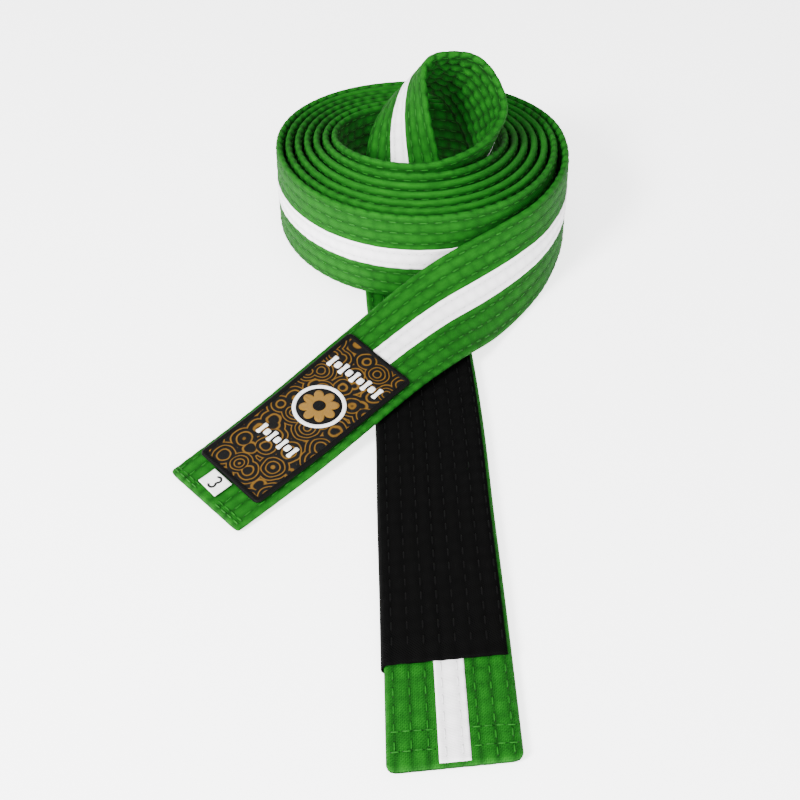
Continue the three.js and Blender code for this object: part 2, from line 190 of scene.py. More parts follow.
def gridFaces(rings, points, closed=True):
    # A quad for each point and the next one of the same ring, with the same two of the next ring
    a = (np.arange(rings - 1) * points)[:, None]
    j = np.arange(points if closed else points - 1)[None, :]
    k = (j + 1) % points
    return np.stack([a + j, a + k, a + points + k, a + points + j], -1).reshape(-1, 4)


def tubeFaces(rings, points):
    # A closed tube: its sides and a cap at each end
    startCap = list(range(points))[::-1]
    endCap = list(range((rings - 1) * points, rings * points))
    return gridFaces(rings, points).tolist() + [startCap, endCap]


def gridUv(s, u):
    # Corner coordinates in centimetres; u has one value more than the ring has points
    rings, count = len(s), len(u) - 1
    s0, s1 = np.repeat(s[:-1], count), np.repeat(s[1:], count)
    u0, u1 = np.tile(u[:-1], rings - 1), np.tile(u[1:], rings - 1)
    return np.stack([np.stack([u0, s0], -1), np.stack([u1, s0], -1),
                     np.stack([u1, s1], -1), np.stack([u0, s1], -1)], 1).reshape(-1, 2) / 10


def meshPiece(name, verts, faces, material, uv=None, shade=None, body="belt", slot=None, replaces=()):
    verts = np.asarray(verts).reshape(-1, 3)
    mesh = bpy.data.meshes.new(name)
    mesh.from_pydata(verts.tolist(), [], faces)
    if uv is not None:
        layer = mesh.uv_layers.new(name="cloth")
        full = np.zeros((len(mesh.loops), 2))   # end caps come last and keep zero
        full[:len(uv)] = uv
        layer.data.foreach_set("uv", full.ravel())
    if shade is not None:
        values = mesh.attributes.new("shade", "FLOAT", "POINT").data
        values.foreach_set("value", np.asarray(shade, float).ravel())
    mesh.polygons.foreach_set("use_smooth", [True] * len(mesh.polygons))
    mesh.materials.append(material)
    mesh.update()
    piece = bpy.data.objects.new(name, mesh)
    bpy.context.scene.collection.objects.link(piece)
    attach(piece, body)
    if replaces:
        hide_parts(*replaces)
    return piece


def addNode(tree, kind, inputs=(), **settings):
    node = tree.nodes.new(kind)
    for key, value in settings.items():
        setattr(node, key, value)
    for key, value in dict(inputs).items():
        if isinstance(value, bpy.types.NodeSocket):
            tree.links.new(value, node.inputs[key])
        else:
            node.inputs[key].default_value = value
    return node


def mathNode(tree, operation, a, b=0.0, c=0.0):
    return addNode(tree, "ShaderNodeMath", {0: a, 1: b, 2: c}, operation=operation).outputs[0]


def startGroup(name, inputs, outputs):
    group = bpy.data.node_groups.new(name, "ShaderNodeTree")
    for label, kind, value in inputs:
        socket = group.interface.new_socket(label, in_out="INPUT", socket_type=kind)
        if value is not None:
            socket.default_value = value
    for label, kind in outputs:
        group.interface.new_socket(label, in_out="OUTPUT", socket_type=kind)
    return group, group.nodes.new("NodeGroupInput").outputs, group.nodes.new("NodeGroupOutput").inputs


def makeWeaveGroup():
    # Plain weave: at each crossing one of the two threads is on top, by the sign of a product of sines
    group, given, out = startGroup(
        "plainWeave", [("Vector", "NodeSocketVector", None), ("Pitch", "NodeSocketFloat", 0.06)],
        [("Height", "NodeSocketFloat")])
    part = addNode(group, "ShaderNodeSeparateXYZ", {0: given["Vector"]})
    turn = mathNode(group, "DIVIDE", math.pi, given["Pitch"])
    u = mathNode(group, "SINE", mathNode(group, "MULTIPLY", part.outputs[0], turn))
    v = mathNode(group, "SINE", mathNode(group, "MULTIPLY", part.outputs[1], turn))
    over = mathNode(group, "GREATER_THAN", mathNode(group, "MULTIPLY", u, v), 0.0)
    high = [mathNode(group, "ABSOLUTE", wave) for wave in (u, v)]
    mix = addNode(group, "ShaderNodeMix", {"Factor": over, 2: high[0], 3: high[1]})
    group.links.new(mix.outputs[0], out["Height"])
    return group


def makeRibGroup():
    # Parallel ribs: a sine of the distance across lines laid at a slant
    group, given, out = startGroup(
        "slantedRibs", [("Vector", "NodeSocketVector", None), ("Pitch", "NodeSocketFloat", 0.1),
                        ("Slant", "NodeSocketFloat", 1.0)], [("Height", "NodeSocketFloat")])
    part = addNode(group, "ShaderNodeSeparateXYZ", {0: given["Vector"]})
    across = mathNode(group, "MULTIPLY_ADD", part.outputs[0], given["Slant"], part.outputs[1])
    turn = mathNode(group, "DIVIDE", 2 * math.pi, given["Pitch"])
    wave = mathNode(group, "SINE", mathNode(group, "MULTIPLY", across, turn))
    group.links.new(mathNode(group, "MULTIPLY_ADD", wave, 0.5, 0.5), out["Height"])
    return group


def makeToneShadeGroup():
    # Random dye tone and painted shade: broad, fine and crosswise puckered noise added, then spread round
    # one by the strength and multiplied by the painted Shade; the puckered and fine noise also go out as
    # Fuzz, and where a finish sinks its bump by it the darker colour is painted shade in the puckers
    group, given, out = startGroup(
        "dyeToneAndShade", [("Vector", "NodeSocketVector", None), ("Color", "NodeSocketColor", None),
                      ("Strength", "NodeSocketFloat", 0.3), ("Shade", "NodeSocketFloat", 1.0)],
        [("Color", "NodeSocketColor"), ("Fuzz", "NodeSocketFloat")])
    broad = addNode(group, "ShaderNodeTexNoise", {"Vector": given["Vector"], "Scale": 0.9, "Detail": 3.0})
    fine = addNode(group, "ShaderNodeTexNoise", {"Vector": given["Vector"], "Scale": 15.0, "Detail": 2.0})
    across = addNode(group, "ShaderNodeVectorMath", {0: given["Vector"], 1: (1.0, 0.4, 1.0)},
                     operation="MULTIPLY")
    pucker = addNode(group, "ShaderNodeTexNoise", {"Vector": across.outputs[0], "Scale": 4.6, "Detail": 2.0})
    halfFine = mathNode(group, "MULTIPLY", fine.outputs[0], 0.5)
    close = mathNode(group, "MULTIPLY_ADD", pucker.outputs[0], 0.9, halfFine)
    both = mathNode(group, "MULTIPLY_ADD", broad.outputs[0], 0.6, mathNode(group, "SUBTRACT", close, 0.5))
    spread = mathNode(group, "MULTIPLY", mathNode(group, "SUBTRACT", both, 0.5), given["Strength"])
    value = mathNode(group, "MULTIPLY", mathNode(group, "ADD", spread, 1.0), given["Shade"])
    tint = addNode(group, "ShaderNodeHueSaturation", {"Hue": 0.5, "Value": value, "Color": given["Color"]})
    group.links.new(tint.outputs[0], out["Color"])
    group.links.new(mathNode(group, "MULTIPLY_ADD", pucker.outputs[0], 3.0, fine.outputs[0]), out["Fuzz"])
    return group


weaveGroup, ribGroup, toneShadeGroup = makeWeaveGroup(), makeRibGroup(), makeToneShadeGroup()


def useGroup(tree, group, inputs):
    node = tree.nodes.new("ShaderNodeGroup")
    node.node_tree = group
    for key, value in inputs.items():
        if isinstance(value, bpy.types.NodeSocket):
            tree.links.new(value, node.inputs[key])
        else:
            node.inputs[key].default_value = value
    return node


def clothMaterial(name, color, roughness=0.9, pattern="weave", pitch=0.06, slant=1.0, bump=0.5, uneven=0.35,
                  sheen=0.25, shadeLow=0.0, depth=0.0002, weaveShading=0.3, gloss=0.12):
    # A cloth or thread finish: its colour changes with random dye tone and with painted shade from the
    # piece's own shade value, the weave's hollows and the puckers
    material = bpy.data.materials.new(name)
    material.use_nodes = True
    tree = material.node_tree
    shader = tree.nodes["Principled BSDF"]
    place = addNode(tree, "ShaderNodeUVMap", uv_map="cloth").outputs[0]
    shade = addNode(tree, "ShaderNodeAttribute", attribute_name="shade").outputs["Fac"]
    # painted shade: the piece's shade value darkens the colour down to shadeLow
    dark = addNode(tree, "ShaderNodeMapRange", {"Value": shade, "To Min": shadeLow}).outputs[0]
    if pattern == "weave":
        texture = useGroup(tree, weaveGroup, {"Vector": place, "Pitch": pitch})
    else:
        texture = useGroup(tree, ribGroup, {"Vector": place, "Pitch": pitch, "Slant": slant})
    toneAndShade = useGroup(tree, toneShadeGroup,
                    {"Vector": place, "Color": (*color, 1), "Strength": uneven, "Shade": dark})
    # the fuzz sinks the bump where the colour is darker, so that darkening is painted shade in the puckers
    fuzz = mathNode(tree, "MULTIPLY", toneAndShade.outputs["Fuzz"], 0.8)
    height = mathNode(tree, "ADD", texture.outputs["Height"], fuzz)
    # painted shade in the weave's hollows and painted light on its crowns, from the weave's height
    weaveHollowShade = addNode(tree, "ShaderNodeMapRange",
                     {"Value": texture.outputs["Height"], "To Min": 1 - weaveShading, "To Max": 1 + weaveShading / 4})
    tint = addNode(tree, "ShaderNodeHueSaturation",
                   {"Value": weaveHollowShade.outputs[0], "Color": toneAndShade.outputs["Color"]})
    relief = addNode(tree, "ShaderNodeBump", {"Strength": bump, "Distance": depth, "Height": height})
    tree.links.new(tint.outputs[0], shader.inputs["Base Color"])
    tree.links.new(relief.outputs[0], shader.inputs["Normal"])
    shader.inputs["Roughness"].default_value = roughness
    shader.inputs["Sheen Weight"].default_value = sheen
    shader.inputs["Sheen Roughness"].default_value = 0.6
    shader.inputs["Specular IOR Level"].default_value = gloss
    return material


# Quilting: the rows of stitching pull the cloth down, and it swells between them
quilt = {
    "cell": 4.95,
    "stitch": 6.0,
    "swell": 0.34,
    "bendSwell": 0.4,
    "looseSwell": 1.25,
    "looseFrom": (2430, 2500),   # from here the strap is free of its neighbours and can swell more
    "edgePinch": 0.42,
    "squeezeGain": 42,
    "squeezeMost": 1.2,
}
quiltRows = [quilt["cell"] * (i - 3.5) for i in range(8)]


def swell(s, x, face):
    # Height and painted shade of the quilting: a power of the cosine across each cell mixed with a power of
    # the cosine along it, so that it is round on top and sharp in the valleys at the thread; the painted
    # shade darkens the valleys
    column = np.round(x / quilt["cell"])
    offset = 0.95 * column + 0.65 * np.sin(0.011 * s + column) + (0.45 if face < 0 else 0)
    across = np.abs(np.cos(np.pi * x / quilt["cell"])) ** 0.75
    pillow = np.abs(np.cos(np.pi * s / quilt["stitch"] + offset)) ** 0.7
    squeeze = np.clip(np.interp(s, lineLength, bend) * face * quilt["squeezeGain"], 0, quilt["squeezeMost"])
    loose = np.interp(s, quilt["looseFrom"], [0, 1])
    size = quilt["swell"] + (quilt["bendSwell"] + quilt["looseSwell"] * loose) * squeeze
    rough = 0.85 + 0.3 * np.sin(0.37 * s + 2.3 * column) * np.sin(0.113 * s + 0.7 * column)
    share = np.clip(0.58 + 0.3 * squeeze, 0, 0.92)
    puff = across * (1 - share + share * pillow)
    # painted shade: how far the valleys darken, more where the face is squeezed on the inside of a bend
    valleyShade = 0.55 + 0.2 * squeeze
    return size * rough * puff, 1 - valleyShade * (1 - puff)


def acrossFace(perCell):
    # Places across a face: even steps from the first row to the last, and the ends of the flat
    flat = route["halfWidth"] - route["halfThick"]
    return np.r_[-flat, np.linspace(quiltRows[0], quiltRows[-1], 7 * perCell + 1), flat]


def strapSection(topPerCell, bottomPerCell, edgeCount):
    # One ring: the back, a half circle of the half thickness, the striped face, and a half circle again
    thick = route["halfThick"]
    flat = route["halfWidth"] - thick
    turn = np.radians(np.linspace(-90, 90, edgeCount + 2)[1:-1])
    below, above = acrossFace(bottomPerCell), acrossFace(topPerCell)
    x = np.r_[below, flat + thick * np.cos(turn), above[::-1], -flat - thick * np.cos(turn)]
    h = np.r_[np.full(len(below), -thick), thick * np.sin(turn),
              np.full(len(above), thick), -thick * np.sin(turn)]
    return x, h


def ringGirth(x, h):
    # Distance round the ring from its first point, up to the first point again
    step = np.hypot(np.diff(np.r_[x, x[0]]), np.diff(np.r_[h, h[0]]))
    return np.r_[0, np.cumsum(step)]


strap = {"fineStep": 1.5, "coilStep": 3.0, "fineStart": 696, "fineEnd": 2046,
         "cornerRadius": 3.0, "cornerReach": 9, "patchCornerShare": 0.3, "tipRound": 1.3,
         "flatEdge": 19.6, "flatFade": 1.6, "pinchEdge": 17.4, "pinchFade": 1.2,
         "color": (0.0049, 0.082, 0.0036)}


def makeStrap():
    s = np.r_[np.arange(0, strap["fineStart"], strap["fineStep"]),
              np.arange(strap["fineStart"], strap["fineEnd"], strap["coilStep"]),
              np.arange(strap["fineEnd"], strapLength - 3, strap["fineStep"])]
    tip = strap["tipRound"] * (1 - np.cos(np.linspace(0.15, math.pi / 2, 5)))
    s = np.r_[tip, s[s > 3], strapLength - tip[::-1]]
    x, h = strapSection(3, 4, 4)
    grid, across, height = s[:, None], x[None, :], h[None, :]
    nearFace = 0.99 * route["halfThick"]
    face = np.where(height > nearFace, 1, np.where(height < -nearFace, -1, 0))
    top, topShade = swell(grid, across, 1)
    bottom, bottomShade = swell(grid, across, -1)
    rise = np.where(face > 0, top, np.where(face < 0, -bottom, 0))
    fade = np.clip((strap["flatEdge"] - np.abs(across)) / strap["flatFade"], 0, 1)
    # the edges are drawn in at every stitch, more on the face away from the stripe
    beat = 2 * np.pi * grid / quilt["stitch"] + 0.8 * np.sin(0.02 * grid) + np.sign(across)
    pinch = np.clip(np.cos(beat), 0, 1) ** 2
    edge = np.clip((np.abs(across) - strap["pinchEdge"]) / strap["pinchFade"], 0, 1)
    slim = 1 - quilt["edgePinch"] * pinch * edge * np.where(height < 0.5, 1.0, 0.45)
    end = np.minimum(grid, strapLength - grid)
    # each tip is thinned as a quarter circle of the tip's rounding
    thin = np.sqrt(np.clip(1 - (1 - np.clip(end / strap["tipRound"], 0, 1)) ** 2, 0.004, 1))
    finalH = (height * slim + rise * fade) * thin
    # the corners of both tips are rounded, by drawing their rings back
    cornerRadius = strap["cornerRadius"]
    corner = np.clip(np.abs(across) - (route["halfWidth"] - cornerRadius), 0, cornerRadius)
    drop = cornerRadius - np.sqrt(cornerRadius ** 2 - corner ** 2)
    nearBar = np.clip(1 - (strapLength - grid) / strap["cornerReach"], 0, 1)
    nearPatch = np.clip(1 - grid / strap["cornerReach"], 0, 1)
    finalS = grid - drop * nearBar + strap["patchCornerShare"] * drop * nearPatch
    verts = strapPoint(finalS, across, finalH)
    # painted shade: the quilting's valleys are darkened on both faces, and the edges more at every stitch's
    # pinch
    shade = np.where(face > 0, topShade, np.where(face < 0, bottomShade, 1.0))
    shade = shade * (1 - 0.6 * pinch * edge * np.where(height < 0.5, 1.0, 0.4))
    material = clothMaterial("greenCotton", strap["color"], roughness=0.8, pitch=0.055, bump=0.5, uneven=0.9,
                             sheen=0.0, depth=0.0003, weaveShading=0.25, gloss=0.075)
    return meshPiece("strapCloth", verts, tubeFaces(len(s), len(x)), material, gridUv(s, ringGirth(x, h)),
                     shade, slot="strap_cloth", replaces=["strap"])


strapCloth = makeStrap()
print("strap done")

# The centre stripe is a white tape under the two middle rows
stripe = {"half": 4.65, "start": 24, "base": 0.05, "thick": 0.2, "step": 1.5, "color": (0.9, 0.88, 0.9)}


def clothBand(name, s, x, base, thick, material, tuck=0.25, **words):
    # A thin closed band that lies on the quilting; its two long edges are tucked down
    ringX = np.r_[x, x[::-1]]
    up = np.r_[np.zeros(len(x)), np.ones(len(x))][None, :]
    grid, across = s[:, None], ringX[None, :]
    # shade here is the quilting's painted shade, darker in its valleys
    rise, shade = swell(grid, across, 1)
    edge = np.abs(across - (x[0] + x[-1]) / 2) > (x[-1] - x[0]) / 2 - 0.01
    height = route["halfThick"] + rise + base + up * thick - np.where(edge, tuck * up * thick, 0)
    verts = strapPoint(grid, across, height)
    faces = tubeFaces(len(s), len(ringX))
    return meshPiece(name, verts, faces, material, gridUv(s, np.r_[ringX, ringX[0]]), shade, **words)


def makeStripe():
    s = np.arange(stripe["start"], strapLength - 0.6, stripe["step"])
    x = np.linspace(-stripe["half"], stripe["half"], 13)
    material = clothMaterial("whiteTape", stripe["color"], roughness=0.8, pattern="rib", pitch=0.055,
                             slant=0.15, bump=0.25, uneven=0.05, sheen=0.0, shadeLow=0.5, weaveShading=0.08)
    return clothBand("centreStripe", s, x, stripe["base"], stripe["thick"], material, slot="stripe_tape",
                     replaces=["center_stripe"])


centreStripe = makeStripe()
print("stripe done")

# Stitches are short lengths of thread lying in the rows
thread = {"length": 3.6, "width": 0.6, "height": 0.3,
          "above": 0.02, "aboveStripe": 0.22, "belowBack": -0.08, "firstStitch": 4, "lastStitch": 3,
          "acrossLength": 2.9, "acrossAbove": 0.2, "acrossReach": 17.2, "acrossGap": 3.44, "acrossFrom": 5,
          "green": (0.006, 0.096, 0.0044), "white": (0.82, 0.81, 0.82),
          "patchTipRows": [1.6, 3.2], "barTipRows": [5.5, 12]}


def threadPieces(name, s, x, h, material, direction=0.0, length=None, lift=1.0, **words):
    # Each stitch is a low four-sided capsule of four rings; s, x and h are the middles of the stitches
    length = length or thread["length"]
    pointsEach = 16
    reach = np.array([-0.5, -0.3, 0.3, 0.5]) * length
    size = np.array([0.35, 1.0, 1.0, 0.35])
    side = np.array([-0.5, 0, 0.5, 0]) * thread["width"]
    rise = np.array([0.15, 1.0, 0.15, -0.4]) * thread["height"] * lift
    ds, dx = reach[:, None] * math.cos(direction), reach[:, None] * math.sin(direction)
    ringS = ds - side[None, :] * size[:, None] * math.sin(direction)
    ringX = dx + side[None, :] * size[:, None] * math.cos(direction)
    ringH = rise[None, :] * size[:, None]
    verts = strapPoint(s[:, None, None] + ringS, x[:, None, None] + ringX, h[:, None, None] + ringH)
    quads = gridFaces(4, 4)
    caps = np.array([[3, 2, 1, 0], [12, 13, 14, 15]])
    if lift < 0:
        quads, caps = quads[:, ::-1], caps[:, ::-1]
    count = len(s)
    first = (np.arange(count) * pointsEach)[:, None, None]
    faces = np.vstack([(quads[None] + first).reshape(-1, 4), (caps[None] + first).reshape(-1, 4)])
    unit = np.array([[0, 0], [0.06, 0], [0.06, 0.1], [0, 0.1]])
    uv = np.tile(unit, (len(faces), 1)) + np.repeat(np.arange(len(faces)) * 0.37, 4)[:, None]
    # painted shade: each stitch is darkened at both ends, in the needle holes
    shade = np.tile(np.repeat([0.0, 1.0, 1.0, 0.0], 4), count)   # dark where the needle goes in
    return meshPiece(name, verts, faces.tolist(), material, uv, shade, **words)


def stitchPlaces(rows, start, end, face, above):
    # Each row begins a little further on by its own amount, so that neighbouring rows do not line up
    s, x = [], []
    for row in rows:
        at = np.arange(start + 2 * (row % 1.7), end, quilt["stitch"])
        s.append(at)
        x.append(np.full(len(at), float(row)))
    s, x = np.concatenate(s), np.concatenate(x)
    rise, _ = swell(s, x, face)
    return s, x, face * (route["halfThick"] + rise + above)


def makeStitches():
    green = clothMaterial("greenThread", thread["green"], roughness=0.5, pattern="rib", pitch=0.03,
                          slant=2.0, bump=0.3, uneven=1.2, sheen=0.0, gloss=0.12)
    white = clothMaterial("whiteThread", thread["white"], roughness=0.7, pattern="rib", pitch=0.03,
                          slant=2.0, bump=0.3, uneven=0.1, sheen=0.0, shadeLow=0.12)
    outerRows = [r for r in quiltRows if abs(r) > stripe["half"]]
    innerRows = [r for r in quiltRows if abs(r) < stripe["half"]]
    first, last = thread["firstStitch"], strapLength - thread["lastStitch"]
    outer = stitchPlaces(outerRows, first, last, 1, thread["above"])
    # before the stripe starts, the two middle rows are green as well
    tip = stitchPlaces(innerRows, first, stripe["start"] - 2, 1, thread["above"])
    s, x, h = (np.concatenate(pair) for pair in zip(outer, tip))
    threadPieces("greenStitches", s, x, h, green, slot="green_thread",
                 replaces=["stitch_row_%d" % row for row in (1, 2, 3, 6, 7, 8)])
    s, x, h = stitchPlaces(innerRows, stripe["start"] + 2, last, 1, thread["aboveStripe"])
    threadPieces("whiteStitches", s, x, h, white, slot="white_thread",
                 replaces=["stitch_row_4", "stitch_row_5"])
    s, x, h = stitchPlaces(quiltRows, first, last, -1, thread["belowBack"])
    threadPieces("backStitches", s, x, h, green, lift=-1.0, slot="green_thread")
    barTipRows = [strapLength - row for row in thread["barTipRows"]]
    for end, places, nodes in (("patchEnd", thread["patchTipRows"], "patch_end_cross_stitch_"),
                               ("barEnd", barTipRows, "bar_end_cross_stitch_")):
        for i, at in enumerate(places):
            x = np.arange(-thread["acrossReach"], thread["acrossReach"] + 0.1, thread["acrossGap"])
            # none on the stripe, where the thread is white and sunk
            x = x[np.abs(x) > thread["acrossFrom"]]
            rise, _ = swell(np.full(len(x), at), x, 1)
            h = route["halfThick"] + rise + thread["acrossAbove"]
            threadPieces(end + "CrossStitches" + str(i + 1), np.full(len(x), at), x, h, green,
                         direction=math.pi / 2, length=thread["acrossLength"], slot="green_thread",
                         replaces=[nodes + str(i + 1)])


makeStitches()
print("stitches done")

# The rank bar is a black twill sleeve round one edge, with its own rows of stitching
bar = {"length": 165, "cap": 36.5, "open": 18.4, "wall": 0.45, "step": 1.3, "gap": 0.62, "backGap": 0.12,
       "swell": 1.15, "firstStitch": 5, "lastStitch": 4,
       "color": (0.0016, 0.0016, 0.0016), "threadColor": (0.0024, 0.0024, 0.0024)}
barEnd = strapLength - bar["cap"]
barStart = barEnd - bar["length"]


def makeRankBar():
    # A sleeve of one wall: over the striped face, round the left edge in a half circle, and under the back
    s = np.linspace(barStart, barEnd, int(bar["length"] / bar["step"]))
    thick = route["halfThick"]
    flat = route["halfWidth"] - thick
    turn = np.radians(np.linspace(90, 270, 9)[1:-1])
    topCount, turnCount, bottomCount = 33, len(turn), 24
    topX = np.linspace(bar["open"], -flat, topCount)
    bottomX = np.linspace(-flat, bar["open"], bottomCount)
    x = np.r_[topX, -flat + thick * np.cos(turn), bottomX]
    h = np.r_[np.full(topCount, thick), thick * np.sin(turn), np.full(bottomCount, -thick)]
    outX = np.r_[np.zeros(topCount), np.cos(turn), np.zeros(bottomCount)]
    outH = np.r_[np.ones(topCount), np.sin(turn), -np.ones(bottomCount)]
    gap = np.r_[np.full(topCount, bar["gap"]), np.linspace(bar["gap"], bar["backGap"], turnCount),
                np.full(bottomCount, bar["backGap"])]
    grid = s[:, None]
    rise, shade = swell(grid, x[None, :], 1)
    isTop, isBack = outH[None, :] > 0.99, outH[None, :] < -0.99
    lift = np.where(isTop, rise * bar["swell"], np.where(isBack, 0.0, 0.1))
    # the wall's outer line, then its inner line back again
    outer, inner = gap[None, :] + lift + bar["wall"], gap[None, :] + lift
    ringX = np.hstack([x + outX * outer, (x + outX * inner)[:, ::-1]])
    ringH = np.hstack([h + outH * outer, (h + outH * inner)[:, ::-1]])
    # painted shade: the sleeve's face takes the quilting's painted shade, its edge and back are darkened to
    # 0.6 and its inner wall to 0.5
    ringShade = np.hstack([np.where(isTop, shade, 0.6), np.full(shade.shape, 0.5)])
    verts = strapPoint(grid + ringX * route["barTipSlant"], ringX, ringH)
    girth = ringGirth(ringX[5], ringH[5])
    faces = tubeFaces(len(s), ringX.shape[1])
    material = clothMaterial("blackTwill", bar["color"], roughness=0.75, pattern="rib", pitch=0.1, slant=1.0,
                             bump=0.6, uneven=0.9, sheen=0.0, depth=0.0002, weaveShading=0.6, gloss=0.025)
    piece = meshPiece("rankBar", verts, faces, material, gridUv(s, girth), ringShade, slot="black_cloth",
                      replaces=["rank_bar"])
    black = clothMaterial("blackThread", bar["threadColor"], roughness=0.5, pattern="rib", pitch=0.03,
                          slant=2.0, bump=0.3, uneven=0.3, sheen=0.0, gloss=0.06)
    s, x, _ = stitchPlaces(quiltRows, barStart + bar["firstStitch"], barEnd - bar["lastStitch"], 1, 0)
    rise, _ = swell(s, x, 1)
    up = route["halfThick"] + rise * bar["swell"] + bar["gap"] + bar["wall"] + thread["above"]
    threadPieces("barStitches", s, x, up, black, slot="black_thread",
                 replaces=["bar_stitch_row_%d" % (i + 1) for i in range(len(quiltRows))])
    return piece


rankBar = makeRankBar()
print("rank bar done")

patch = {"from": 11.75, "length": 80.8, "width": 34.5, "border": 2.2, "base": 2.12, "thick": 0.55,
         "rib": 0.95, "dome": 0.12, "domeReach": 5, "cornerRadius": 1.1,
         "ground": (0.105, 0.05, 0.005), "gold": (0.17, 0.082, 0.001), "white": (0.85, 0.84, 0.83),
         "black": (0.0015, 0.0014, 0.0014)}
patchMiddle = patch["from"] + patch["length"] / 2


def patchHeight(x, s):
    # the patch is a little domed, and sinks slightly where it is sewn down
    edge = np.minimum(patch["width"] / 2 - np.abs(x), patch["length"] / 2 - np.abs(s - patchMiddle))
    return patch["base"] + patch["dome"] * np.clip(edge / patch["domeReach"], 0, 1)


def plateParts(s, x, bottom, top):
    # A closed plate over a grid of s and x; bottom and top are heights on the strap
    rings, count = s.shape
    slanted = s + x * route["patchTipSlant"]
    upper = strapPoint(slanted, x, top).reshape(-1, 3)
    lower = strapPoint(slanted, x, bottom).reshape(-1, 3)
    quads = gridFaces(rings, count, closed=False)
    under = quads[:, ::-1] + rings * count
    rim = np.r_[np.arange(count), np.arange(1, rings) * count + count - 1,
                (rings - 1) * count + np.arange(count - 2, -1, -1), np.arange(rings - 2, 0, -1) * count]
    nextRim = np.roll(rim, -1)
    side = np.stack([rim, rim + rings * count, nextRim + rings * count, nextRim], -1)
    faces = np.vstack([quads, under, side])
    flatUv = np.stack([np.asarray(x).ravel(), np.asarray(s).ravel()], -1) / 10
    return np.vstack([upper, lower]), faces, flatUv[(faces % (rings * count)).ravel()]


def gridPlate(name, plates, material, **words):
    # plates is a list of (s, x, bottom, top) grids, joined into one piece
    verts, faces, uvs, first = [], [], [], 0
    for plate in plates:
        v, f, uv = plateParts(*np.broadcast_arrays(*plate))
        verts.append(v)
        faces.append(f + first)
        uvs.append(uv)
        first += len(v)
    return meshPiece(name, np.vstack(verts), np.vstack(faces).tolist(), material, np.vstack(uvs),
                     np.ones(first), **words)


def groundMaterial():
    # Thin golden brown rings on black round scattered points, with satin threads in the relief
    material = bpy.data.materials.new("patchScales")
    material.use_nodes = True
    tree = material.node_tree
    shader = tree.nodes["Principled BSDF"]
    place = addNode(tree, "ShaderNodeUVMap", uv_map="cloth").outputs[0]
    drift = addNode(tree, "ShaderNodeTexNoise", {"Vector": place, "Scale": 1.6, "Detail": 1.0})
    moved = addNode(tree, "ShaderNodeMix", {"Factor": 0.12, 4: place, 5: drift.outputs["Color"]},
                    data_type="VECTOR")
    cells = addNode(tree, "ShaderNodeTexVoronoi",
                    {"Vector": moved.outputs[1], "Scale": 1.3, "Randomness": 0.85})
    rings = mathNode(tree, "SINE", mathNode(tree, "MULTIPLY", cells.outputs["Distance"], 2 * math.pi / 0.17))
    level = mathNode(tree, "MULTIPLY_ADD", rings, 0.5, 0.5)
    ramp = addNode(tree, "ShaderNodeValToRGB", {"Fac": level})
    ramp.color_ramp.elements[0].position = 0.7
    ramp.color_ramp.elements[0].color = (*patch["black"], 1)
    ramp.color_ramp.elements[1].position = 0.95
    ramp.color_ramp.elements[1].color = (*patch["ground"], 1)
    satin = useGroup(tree, ribGroup, {"Vector": place, "Pitch": 0.034, "Slant": 0.35})
    toneAndShade = useGroup(tree, toneShadeGroup,
                    {"Vector": place, "Color": ramp.outputs[0], "Strength": 0.5, "Shade": 1.0})
    height = mathNode(tree, "ADD", mathNode(tree, "MULTIPLY", level, 1.6), satin.outputs[0])
    relief = addNode(tree, "ShaderNodeBump", {"Strength": 0.6, "Distance": 0.00018, "Height": height})
    tree.links.new(toneAndShade.outputs["Color"], shader.inputs["Base Color"])
    tree.links.new(relief.outputs[0], shader.inputs["Normal"])
    shader.inputs["Roughness"].default_value = 0.55
    shader.inputs["Specular IOR Level"].default_value = 0.06
    return material


